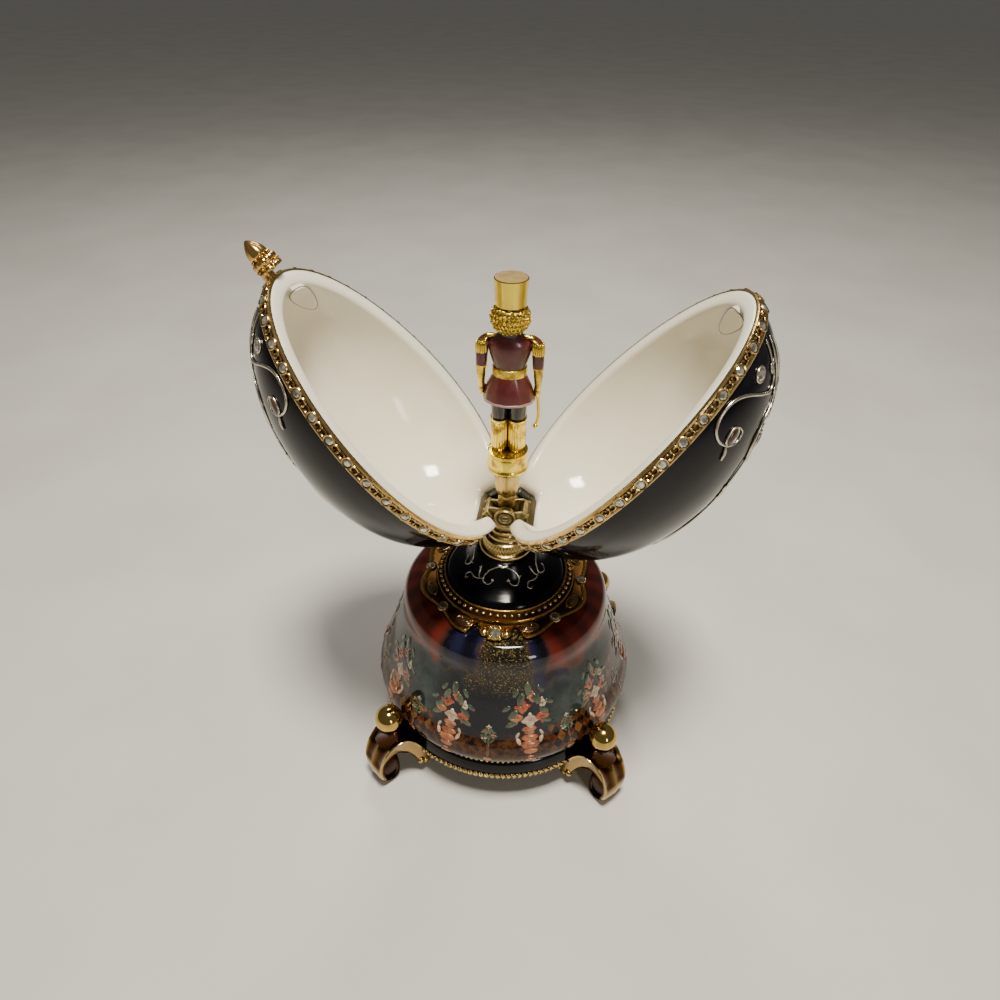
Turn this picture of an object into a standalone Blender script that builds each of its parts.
"""Musical egg ornament: a porcelain egg that opens in two halves over a toy soldier.

A printed porcelain bell stands on four gilt scroll feet.  A black cap and a brass neck rise
from it to a hinge, and on the hinge a post carries a gilt toy soldier.  The two halves of the
egg hang on the hinge pin and close over the soldier.

Sizes are in millimetres and become metres in finish_mesh().  +Z is up, the hinge pin lies along
Y, and the halves swing towards -X and +X.  Everything is drawn with the halves open.
"""

import math

import bmesh
import bpy
from mathutils import Matrix, Vector

MM = 0.001
GAP = 0.3                    # clear space left between pieces that touch

# ---- driving sizes ---------------------------------------------------------------------------
AXIS_X = 0.49                # the stand's axis, so that the open ornament's box is centred on X
PIVOT_Z = 90.0               # height of the hinge pin
LEFT_OPEN = 40.3             # degrees from closed, the stop the left half rests on
RIGHT_OPEN = 39.2

# the egg's own axis starts at the hinge pin
EGG_BOTTOM = 0.8             # from the pin to the blunt end
EGG_TIP = 90.8               # from the pin to the narrow end
EGG_RADIUS = 33.7            # of the ellipse that the egg is drawn from
EGG_TAPER = -0.105           # narrows the ellipse towards the tip
EGG_FULLNESS = 0.027         # and fills both ends
WALL = 4.2                   # porcelain thickness
RIM_GAP = 0.15               # each rim stays this far behind the closing plane
NOTCH_HALF = 9.0             # the rims are notched round the hinge: half width along the pin
NOTCH_DEPTH = 7.6            # and depth away from the closing plane
NOTCH_TOP = 11.0

BAND_WIDTH = 3.6             # gilt band round each rim
BAND_LIFT = 0.55             # its corners stand this far off the porcelain, its flats less
BAND_THICK = 0.9

RING_RADIUS = 42.4           # black base ring, outside, at its foot
RING_TOP_RADIUS = 40.9
RING_INNER = 36.0
RING_BOTTOM_Z = 11.2
BAND_LOW_Z = 13.2
BAND_HIGH_Z = 17.4
RING_TOP_Z = 19.3
ROPE_RADIUS = 0.85

BELL_BOTTOM_Z = 19.6
BELL_TOP_Z = 61.8
BELL_WALL = 4.0
BELL_HOLE = 15.0

COLLAR_Z = BELL_TOP_Z + GAP
COLLAR_THICK = 1.4
COLLAR_INNER = 19.3
COLLAR_OUTER = 27.1
COLLAR_SCALLOP = 1.2
GALLERY_Z = 66.4             # top of the beaded gallery
GALLERY_RADIUS = 22.4        # foot of its sloping face

CAP_TOP_Z = 75.5
NECK_Z = CAP_TOP_Z + GAP
NECK_TOP_Z = 86.0

PIN_RADIUS = 1.1
CHEEK_HALF = 1.2             # half thickness of the fork that carries the pin
EAR_THICK = 0.9
EAR_RADIUS = 3.0
BOSS_RADIUS = 3.4
BOSS_THICK = 1.1

POST_Z = 95.7                # the post narrows to a rounded tongue here
POST_RADIUS = 3.75
SOLDIER_Z = 106.2            # underside of the soldier's round stand

FOOT_COUNT = 4
FOOT_TURN = -43.0            # the first foot's bearing from +X, degrees
FOOT_HEAD_RADIUS = 4.5       # the ball that heads each scroll
FOOT_HEAD_AT = (49.0, 27.6)  # radius, height

SEGMENTS = 36                # round the stand
HALF_SEGMENTS = 14           # round half an egg


# ---- materials -------------------------------------------------------------------------------
def make_material(name, colour, roughness, metallic=0.0):
    """A Principled BSDF with one colour."""
    material = bpy.data.materials.new(name)
    material.use_nodes = True
    shader = material.node_tree.nodes["Principled BSDF"]
    shader.inputs["Base Color"].default_value = (*colour, 1.0)
    shader.inputs["Roughness"].default_value = roughness
    shader.inputs["Metallic"].default_value = metallic
    material.diffuse_color = (*colour, 1.0)
    return material


def make_materials():
    return {
        "black enamel": make_material("black enamel", (0.012, 0.012, 0.016), 0.08),
        "cream porcelain": make_material("cream porcelain", (0.84, 0.80, 0.71), 0.15),
        "printed porcelain": make_material("printed porcelain", (0.10, 0.14, 0.14), 0.10),
        "antique gold": make_material("antique gold", (0.62, 0.40, 0.14), 0.28, 1.0),
        "brass": make_material("brass", (0.55, 0.42, 0.18), 0.35, 1.0),
        "bright gold": make_material("bright gold", (0.90, 0.68, 0.25), 0.22, 1.0),
    }


# ---- mesh helpers ----------------------------------------------------------------------------
def finish_mesh(name, bm, material, parent=None, round_over=40.0):
    """Close a bmesh drawn in millimetres into a named object in metres."""
    bmesh.ops.scale(bm, vec=(MM, MM, MM), verts=bm.verts)
    bmesh.ops.remove_doubles(bm, verts=bm.verts, dist=1e-6)
    bmesh.ops.recalc_face_normals(bm, faces=bm.faces)
    mesh = bpy.data.meshes.new(name)
    bm.to_mesh(mesh)
    bm.free()
    mesh.materials.append(material)
    mesh.shade_smooth()
    mesh.set_sharp_from_angle(angle=math.radians(round_over))
    thing = bpy.data.objects.new(name, mesh)
    bpy.context.scene.collection.objects.link(thing)
    thing.parent = parent
    return thing


def spun(outline, segments, sweep=360.0):
    """Turn a closed (radius, height) outline about Z, starting at -Y; half turns are capped."""
    bm = bmesh.new()
    verts = [bm.verts.new((0.0, -radius, height)) for radius, height in outline]
    edges = [bm.edges.new(pair) for pair in zip(verts, verts[1:] + verts[:1])]
    full = abs(sweep) >= 360.0
    turn = bmesh.ops.spin(bm, geom=verts + edges, cent=(0, 0, 0), axis=(0, 0, 1),
                          angle=math.radians(sweep), steps=segments, use_merge=full)
    if not full:
        last = [part for part in turn["geom_last"] if isinstance(part, bmesh.types.BMEdge)]
        bmesh.ops.contextual_create(bm, geom=edges)
        bmesh.ops.contextual_create(bm, geom=last)
    bmesh.ops.remove_doubles(bm, verts=bm.verts, dist=1e-4)
    loose = [edge for edge in bm.edges if not edge.link_faces]     # those on the axis itself
    bmesh.ops.delete(bm, geom=loose, context="EDGES")
    return bm


def skinned(rings, loop=False):
    """Join equal rings of points by quads, with a cap on each end unless they form a loop."""
    bm = bmesh.new()
    rows = [[bm.verts.new(point) for point in ring] for ring in rings]
    pairs = list(zip(rows, rows[1:] + rows[:1])) if loop else list(zip(rows, rows[1:]))
    for low, high in pairs:
        for index in range(len(low)):
            after = (index + 1) % len(low)
            bm.faces.new((low[index], low[after], high[after], high[index]))
    if not loop:
        bm.faces.new(rows[0])
        bm.faces.new(rows[-1])
    return bm


def box_mesh(low, high):
    bm = bmesh.new()
    bmesh.ops.create_cube(bm, size=1.0)
    low, high = Vector(low), Vector(high)
    size = high - low
    bmesh.ops.scale(bm, vec=size, verts=bm.verts)
    bmesh.ops.translate(bm, vec=(low + high) / 2, verts=bm.verts)
    return bm


def rod_mesh(start, end, radius, sides, end_radius=None):
    """A round rod between two points."""
    start, end = Vector(start), Vector(end)
    bm = bmesh.new()
    bmesh.ops.create_cone(bm, cap_ends=True, segments=sides, radius1=radius,
                          radius2=radius if end_radius is None else end_radius,
                          depth=(end - start).length)
    turn = (end - start).to_track_quat("Z", "Y").to_matrix().to_4x4()
    bm.transform(Matrix.Translation((start + end) / 2) @ turn)
    return bm


def ball_mesh(centre, radii, detail=2):
    bm = bmesh.new()
    bmesh.ops.create_icosphere(bm, subdivisions=detail, radius=1.0)
    bmesh.ops.scale(bm, vec=radii, verts=bm.verts)
    bmesh.ops.translate(bm, vec=centre, verts=bm.verts)
    return bm


def boolean(thing, other, operation):
    """Apply a union or a cut to an object and drop the tool."""
    modifier = thing.modifiers.new(operation.lower(), "BOOLEAN")
    modifier.operation = operation
    modifier.object = other
    modifier.solver = "EXACT"
    bpy.context.view_layer.update()
    evaluated = thing.evaluated_get(bpy.context.evaluated_depsgraph_get())
    result = bpy.data.meshes.new_from_object(evaluated)
    old = thing.data
    thing.modifiers.clear()
    thing.data = result
    result.name = thing.name
    bpy.data.meshes.remove(old)
    bpy.data.objects.remove(other)


def fused(name, meshes, material, parent=None):
    """One solid cast from several overlapping shapes."""
    first, *rest = meshes
    thing = finish_mesh(name, first, material, parent)
    for number, mesh in enumerate(rest):
        other = finish_mesh(f"{name} {number}", mesh, material, parent)
        boolean(thing, other, "UNION")
    return thing


def cut(thing, mesh, parent=None):
    boolean(thing, finish_mesh("cutter", mesh, thing.data.materials[0], parent), "DIFFERENCE")


def empty(name, place, turn=(0.0, 0.0, 0.0)):
    guide = bpy.data.objects.new(name, None)
    guide.location = Vector(place) * MM
    guide.rotation_euler = [math.radians(angle) for angle in turn]
    bpy.context.scene.collection.objects.link(guide)
    return guide


# ---- the stand -------------------------------------------------------------------------------
def bell_outline():
    """Outside from foot to shoulder, then inside back down."""
    outside = [(40.2, BELL_BOTTOM_Z), (43.4, 22.0), (44.2, 25.2), (43.2, 28.6), (41.4, 31.6),
               (39.9, 36.0), (37.9, 42.4), (35.6, 48.0), (34.1, 52.4), (33.8, 56.2),
               (32.8, 59.2), (30.6, 61.0), (27.4, BELL_TOP_Z), (BELL_HOLE, BELL_TOP_Z)]
    inside = [(BELL_HOLE, BELL_TOP_Z - BELL_WALL), (28.4, 57.2), (32.4, 46.0), (39.2, 26.0),
              (36.4, BELL_BOTTOM_Z)]
    return outside + inside


def build_bell(materials, stand):
    finish_mesh("printed_bell", spun(bell_outline(), SEGMENTS),
                materials["printed porcelain"], stand)


def build_base_ring(materials, stand):
    outline = [(RING_INNER, RING_BOTTOM_Z), (41.2, RING_BOTTOM_Z), (41.2, BAND_LOW_Z),
               (RING_RADIUS, BAND_LOW_Z), (RING_TOP_RADIUS, BAND_HIGH_Z), (39.4, BAND_HIGH_Z),
               (39.4, RING_TOP_Z), (RING_INNER, RING_TOP_Z)]
    finish_mesh("base_ring", spun(outline, SEGMENTS), materials["black enamel"], stand)

    plate = [(0.0, RING_BOTTOM_Z), (RING_INNER - GAP, RING_BOTTOM_Z),
             (RING_INNER - GAP, BAND_LOW_Z), (0.0, BAND_LOW_Z)]
    finish_mesh("under_plate", spun(plate, SEGMENTS), materials["brass"], stand)

    lower_z = RING_BOTTOM_Z + ROPE_RADIUS
    upper_z = BAND_HIGH_Z + GAP + ROPE_RADIUS
    for name, radius, height in (("lower_rope", 41.2 + GAP + ROPE_RADIUS, lower_z),
                                 ("upper_rope", 39.4 + GAP + ROPE_RADIUS, upper_z)):
        corners = [math.radians(45 + 90 * corner) for corner in range(4)]
        reach = ROPE_RADIUS
        square = [(radius + reach * math.cos(angle), height + reach * math.sin(angle))
                  for angle in corners]
        finish_mesh(name, spun(square, SEGMENTS), materials["antique gold"], stand)


def foot_outline():
    """Side view of one scroll foot as (radius, height, half width): it is broad under the ring,
    rises outside it, turns down to the ground and curls back in."""
    outside = [(38.5, 10.9, 8.0), (43.5, 10.9, 7.6), (44.0, 14.4, 7.1), (46.2, 18.8, 6.4),
               (49.8, 19.9, 5.5), (52.8, 18.6, 5.0), (55.5, 15.6, 4.6), (57.4, 11.4, 4.3),
               (58.0, 7.0, 4.2), (57.7, 3.2, 4.1), (56.4, 0.5, 4.0)]
    curl = [(54.4, 0.0, 4.0), (51.4, 0.0, 4.0), (49.4, 1.2, 3.8), (48.6, 3.8, 3.5),
            (48.5, 7.2, 3.2), (49.2, 9.4, 3.0), (50.1, 8.2, 3.0), (50.1, 5.0, 3.1),
            (51.2, 2.8, 3.4)]
    inside = [(53.4, 2.0, 3.7), (55.6, 3.0, 3.9), (56.6, 5.6, 4.0), (56.6, 9.2, 4.1),
              (55.4, 12.6, 4.4), (52.6, 14.8, 5.0), (49.8, 15.4, 5.6), (47.2, 13.8, 6.4),
              (45.2, 10.2, 7.2), (43.4, 5.8, 7.9), (41.3, 3.6, 8.0), (39.0, 4.4, 8.0)]
    return outside + curl + inside


def foot_ring(share):
    """The outline at a share of the half width; the curled end is a drum with rounded ends."""
    ring = []
    for radius, height, half in foot_outline():
        pull = min(max((16.0 - height) / 9.0, 0.0), 1.0) * min(max(radius - 47.0, 0.0), 1.0)
        pull = 1 - 0.26 * pull * (abs(share) > 0.9)
        ring.append((53.2 + (radius - 53.2) * pull, share * half, 7.0 + (height - 7.0) * pull))
    return ring


def build_feet(materials, stand):
    """Four feet alike, each a scroll with a ball at its head."""
    rings = [foot_ring(share) for share in (-1.0, -0.7, 0.7, 1.0)]
    radius, height = FOOT_HEAD_AT
    neck = rod_mesh((radius, 0.0, 17.6), (radius, 0.0, height - 2.0), 3.5, 10, 3.7)
    head = ball_mesh((radius, 0.0, height), [FOOT_HEAD_RADIUS] * 3)
    pattern = fused("foot pattern", [skinned(rings), neck, head], materials["antique gold"])
    mesh = pattern.data
    bpy.data.objects.remove(pattern)
    mesh.name = "scroll foot"
    mesh.shade_smooth()
    mesh.set_sharp_from_angle(angle=math.radians(40))
    for number in range(FOOT_COUNT):
        foot = bpy.data.objects.new(f"foot_{number + 1}", mesh)
        foot.rotation_euler = (0.0, 0.0, math.radians(FOOT_TURN + 90.0 * number))
        bpy.context.scene.collection.objects.link(foot)
        foot.parent = stand


def collar_reach(bearing):
    """Outer radius of the collar: a scallop between crystals, and a bracket front and back."""
    nearest = abs((bearing + 90.0) % 180.0 - 90.0)
    reach = COLLAR_OUTER - COLLAR_SCALLOP * math.cos(math.radians(8.0 * bearing))
    reach -= 4.4 * math.exp(-((nearest - 14.5) / 3.0) ** 2)
    return reach + 1.7 * math.exp(-(nearest / 8.0) ** 2)


def build_collar(materials, stand):
    steps = 64
    rings = []
    for step in range(steps):
        bearing = 360.0 * step / steps
        reach = collar_reach(bearing)
        section = [(COLLAR_INNER, COLLAR_Z), (COLLAR_INNER, GALLERY_Z),
                   (COLLAR_INNER + 0.7, GALLERY_Z), (GALLERY_RADIUS, COLLAR_Z + 2.2),
                   (GALLERY_RADIUS + 0.2, COLLAR_Z + 0.9),
                   (max(reach - 0.7, 22.9), COLLAR_Z + COLLAR_THICK), (reach, COLLAR_Z)]
        turn = math.radians(bearing)
        rings.append([(radius * math.sin(turn), -radius * math.cos(turn), height)
                      for radius, height in section])
    finish_mesh("gilt_collar", skinned(rings, loop=True), materials["antique gold"], stand)


def build_cap(materials, stand):
    """Black cap, flared like the mouth of a bell."""
    outline = [(19.0, COLLAR_Z), (19.0, 65.5), (18.7, 66.5), (16.5, 68.05), (13.4, 69.9),
               (11.9, 71.4), (10.6, 73.2), (8.9, CAP_TOP_Z), (0.0, CAP_TOP_Z), (0.0, 72.4),
               (7.5, 72.0), (9.5, 69.3), (12.5, 67.4), (16.0, 65.2), (16.0, COLLAR_Z)]
    finish_mesh("black_cap", spun(outline, 28), materials["black enamel"], stand)


def build_neck(materials, stand):
    """Turned neck, the cheek that carries the pin, and the post above it, cast as one."""
    turned = [(0.0, NECK_Z), (8.3, NECK_Z), (8.3, 77.1), (7.2, 77.7), (6.9, 80.0), (5.6, 81.2),
              (5.7, 82.4), (4.6, 83.0), (4.6, 84.2), (3.7, 84.8), (3.4, NECK_TOP_Z),
              (0.0, NECK_TOP_Z)]
    cheek = box_mesh((-2.6, -CHEEK_HALF, NECK_TOP_Z - 1.0), (2.6, CHEEK_HALF, POST_Z + 1.0))
    top = SOLDIER_Z - GAP
    post = [(0.0, POST_Z), (1.6, 95.9), (2.5, 96.6), (3.2, 97.8), (3.65, 99.6),
            (POST_RADIUS, 101.5), (POST_RADIUS, 104.0), (POST_RADIUS + 0.15, top), (0.0, top)]
    neck = fused("brass_neck", [spun(turned, 24), cheek, spun(post, 16)], materials["brass"],
                 stand)
    cut(neck, rod_mesh((0, -9, PIVOT_Z), (0, 9, PIVOT_Z), PIN_RADIUS + GAP, 12), stand)


def build_pin(materials, stand):
    """The hinge pin with its round boss in front and behind, held in the neck's cheek."""
    reach = CHEEK_HALF + 2 * (EAR_THICK + GAP) + GAP
    front = -reach - BOSS_THICK
    pin = rod_mesh((0, front + 0.4, PIVOT_Z), (0, -front - 0.4, PIVOT_Z), PIN_RADIUS, 12)
    bosses = [rod_mesh((0, side * reach, PIVOT_Z), (0, side * (reach + BOSS_THICK), PIVOT_Z),
                       BOSS_RADIUS, 20) for side in (-1, 1)]
    fused("hinge_pin", [pin, *bosses], materials["brass"], stand)


# ---- the two halves --------------------------------------------------------------------------
def egg_point(turn, inset=0.0):
    """(along the axis, radius) of the egg's profile; turn runs from 0 at the tip to pi."""
    middle = (EGG_BOTTOM + EGG_TIP) / 2
    half_length = (EGG_TIP - EGG_BOTTOM) / 2 - inset
    bulge = 1 + EGG_TAPER * math.cos(turn) + EGG_FULLNESS * math.cos(turn) ** 2
    along = middle + half_length * math.cos(turn)
    return along, (EGG_RADIUS - inset) * math.sin(turn) * bulge


def egg_normal(turn):
    """Unit outward normal of the profile, as (along, radial)."""
    step = 0.001
    a0, r0 = egg_point(turn - step)
    a1, r1 = egg_point(turn + step)
    tangent = Vector((a1 - a0, r1 - r0)).normalized()
    return tangent.y, abs(tangent.x)


def build_shell(side, name, materials, hinge):
    """Half an egg of porcelain, notched round the hinge.  side is -1 for left, 1 for right."""
    outer_steps, inner_steps = 15, 11
    outline = [egg_point(math.pi * step / outer_steps)[::-1] for step in range(outer_steps + 1)]
    outline += [egg_point(math.pi * step / inner_steps, WALL)[::-1]
                for step in range(inner_steps, -1, -1)]
    bm = spun(outline, HALF_SEGMENTS, sweep=180.0 * side)
    bmesh.ops.translate(bm, vec=(side * RIM_GAP, 0, 0), verts=bm.verts)
    shell = finish_mesh(name, bm, materials["cream porcelain"], hinge)
    near, far = sorted((-side * 3.0, side * NOTCH_DEPTH))
    notch = box_mesh((near, -NOTCH_HALF, -5.0), (far, NOTCH_HALF, NOTCH_TOP))
    bmesh.ops.bevel(notch, geom=notch.edges[:], offset=1.2, segments=2, profile=0.5,
                    affect="EDGES")
    cut(shell, notch, hinge)


def build_rim_band(side, name, materials, hinge):
    """Gilt band on the outside of the rim, from one side of the notch over the tip to the other."""
    stations = 36
    last = math.radians(150.0)
    rings = []
    for step in range(stations + 1):
        turn = -last + 2 * last * step / stations
        along, radius = egg_point(abs(turn))
        normal_along, normal_out = egg_normal(abs(turn))
        across = 1.0 if turn >= 0 else -1.0
        beside = max(abs(turn), 0.02)
        curve = egg_point(beside)[1] / egg_normal(beside)[1]    # radius across the rim
        section = []
        for depth, lift in ((RIM_GAP, BAND_LIFT), (RIM_GAP, BAND_LIFT + BAND_THICK),
                            (BAND_WIDTH, BAND_LIFT + BAND_THICK), (BAND_WIDTH, BAND_LIFT)):
            rise = lift - depth ** 2 / (2 * curve)
            section.append((side * depth, across * (radius + rise * normal_out),
                            along + rise * normal_along))
        rings.append(section)
    finish_mesh(name, skinned(rings), materials["antique gold"], hinge)


def build_leaf(side, name, materials, hinge, ear_start):
    """Hinge leaf: two ears on the pin and a block set in the notch."""
    block_low, block_high = sorted((side * 4.3, side * (NOTCH_DEPTH - GAP)))
    block = box_mesh((block_low, -8.2, 1.4), (block_high, 6.4, 5.4))
    bmesh.ops.bevel(block, geom=block.edges[:], offset=1.0, segments=1, affect="EDGES")
    shapes = [block]
    for front in (-1, 1):
        near, far = sorted((front * ear_start, front * (ear_start + EAR_THICK)))
        shapes.append(rod_mesh((0, near, 0), (0, far, 0), EAR_RADIUS, 16))
        low, high = sorted((side * 1.4, side * 5.0))
        shapes.append(box_mesh((low, near, -1.0), (high, far, 4.2)))
    leaf = fused(name, shapes, materials["brass"], hinge)
    cut(leaf, rod_mesh((0, -20, 0), (0, 20, 0), PIN_RADIUS + GAP, 12), hinge)


def build_plaque(side, name, materials, hinge):
    """Long oval pad inside the tip."""
    turn = math.radians(24.0)
    along, radius = egg_point(turn, WALL)
    normal_along, normal_out = egg_normal(turn)
    swing = math.radians(27.0)                  # round the egg's axis, from the far rim
    outward = Vector((side * math.sin(swing) * normal_out, math.cos(swing) * normal_out,
                      normal_along))
    centre = Vector((side * math.sin(swing) * radius, math.cos(swing) * radius, along))
    down = Vector((0, 0, 1)).cross(outward).normalized()
    across = outward.cross(down)
    rings = []
    for lift, share in ((1.75, 1.0), (2.2, 1.0), (2.4, 0.9)):
        ring = []
        for step in range(16):
            angle = math.tau * step / 16
            ring.append(centre - outward * lift + down * (3.1 * share * math.cos(angle))
                        + across * (7.4 * share * math.sin(angle)))
        rings.append(ring)
    finish_mesh(name, skinned(rings), materials["cream porcelain"], hinge)


def build_finial(materials, hinge):
    """Ribbed crown and pointed bud on the left half's tip."""
    base = EGG_TIP + BAND_LIFT + BAND_THICK + GAP
    outline = [(0.0, base), (3.1, base), (3.4, base + 0.8), (3.1, base + 1.5), (3.5, base + 2.7),
               (3.2, base + 3.6), (2.6, base + 4.1), (2.6, base + 5.0), (2.1, base + 6.6),
               (1.1, base + 8.2), (0.0, base + 9.0)]
    finish_mesh("finial", spun(outline, 12), materials["antique gold"], hinge)


def build_half(side, word, opening, materials, stand, ear_start):
    hinge = empty(f"{word} hinge", (0, 0, PIVOT_Z), (0.0, side * opening, 0.0))
    hinge.parent = stand
    build_shell(side, f"{word}_shell", materials, hinge)
    build_rim_band(side, f"{word}_rim_band", materials, hinge)
    build_leaf(side, f"{word}_hinge_leaf", materials, hinge, ear_start)
    build_plaque(side, f"{word}_plaque", materials, hinge)
    if side < 0:
        build_finial(materials, hinge)


# ---- the toy soldier -------------------------------------------------------------------------
def oval(height, half_x, half_y, shift_y=0.0, pinch=0.0, sides=16):
    """One level of the figure; pinch draws the front and back in between the two legs."""
    ring = []
    for step in range(sides):
        angle = math.tau * step / sides
        x = half_x * math.cos(angle)
        y = half_y * math.sin(angle) * (1.0 - pinch * math.exp(-(x / 1.3) ** 2))
        ring.append((x, y + shift_y, height))
    return ring


def soldier_levels():
    """The figure from its round stand to its tall hat, facing +Y."""
    stand = [oval(SOLDIER_Z, 5.6, 5.6), oval(SOLDIER_Z + 1.0, 6.0, 6.0), oval(112.6, 5.9, 5.9),
             oval(112.8, 5.0, 4.0, 0.5, 0.3)]
    legs = [oval(114.6, 5.1, 3.2, 0.2, 0.4), oval(122.6, 5.1, 3.2, 0.0, 0.4),
            oval(122.8, 5.4, 3.4, 0.0, 0.4), oval(123.4, 5.4, 3.4, 0.0, 0.4),
            oval(123.5, 4.9, 3.0, 0.0, 0.4), oval(128.9, 5.0, 3.1, 0.0, 0.3)]
    coat = [oval(129.0, 7.0, 5.6), oval(133.5, 5.9, 4.7), oval(136.3, 4.5, 3.6),
            oval(136.5, 4.7, 3.8), oval(138.7, 4.6, 3.75), oval(138.9, 4.25, 3.4),
            oval(142.6, 5.4, 3.75), oval(144.6, 5.75, 3.7), oval(146.0, 5.5, 3.4),
            oval(147.6, 3.0, 2.7)]
    head = [oval(148.4, 3.2, 3.2), oval(150.2, 4.7, 4.3), oval(152.6, 5.1, 4.7),
            oval(154.8, 4.7, 4.3), oval(155.8, 3.95, 3.95)]
    hat = [oval(161.9, 4.3, 4.3), oval(162.3, 4.2, 4.2)]
    return stand + legs + coat + head + hat


def build_soldier(materials, stand):
    shapes = [skinned(soldier_levels())]
    for side in (-1, 1):
        elbow = (side * 7.45, -0.3, 139.0)
        hand = (side * 7.5, 0.7, 131.0)
        shapes.append(rod_mesh((side * 7.0, 0.0, 145.0), elbow, 1.7, 8, 1.5))
        shapes.append(rod_mesh((side * 7.45, -0.3, 139.4), hand, 1.3, 8, 0.9))
        shapes.append(ball_mesh(hand, (1.0, 1.3, 1.7), 1))
        shapes.append(rod_mesh((side * 3.6, 0.0, 146.6), (side * 6.8, 0.0, 146.2), 1.2, 8))
        shapes.append(rod_mesh((side * 6.9, 0.0, 142.9), (side * 6.9, 0.0, 146.2), 2.2, 10, 1.9))
    shapes.append(rod_mesh((7.7, 0.8, 131.0), (8.1, 0.8, 124.0), 0.6, 6))
    shapes.append(rod_mesh((8.1, 0.8, 124.2), (7.4, 0.4, 120.4), 0.6, 6, 0.7))
    shapes.append(ball_mesh((0, 5.0, 152.0), (0.7, 0.8, 0.9), 1))
    fused("toy_soldier", shapes, materials["bright gold"], stand)


def main():
    for thing in list(bpy.data.objects):
        bpy.data.objects.remove(thing)
    materials = make_materials()
    stand = empty("stand axis", (AXIS_X, 0, 0))
    build_base_ring(materials, stand)
    build_bell(materials, stand)
    build_feet(materials, stand)
    build_collar(materials, stand)
    build_cap(materials, stand)
    build_neck(materials, stand)
    build_pin(materials, stand)
    build_soldier(materials, stand)
    build_half(-1, "left", LEFT_OPEN, materials, stand, CHEEK_HALF + GAP)
    build_half(1, "right", RIGHT_OPEN, materials, stand, CHEEK_HALF + 2 * GAP + EAR_THICK)


main()
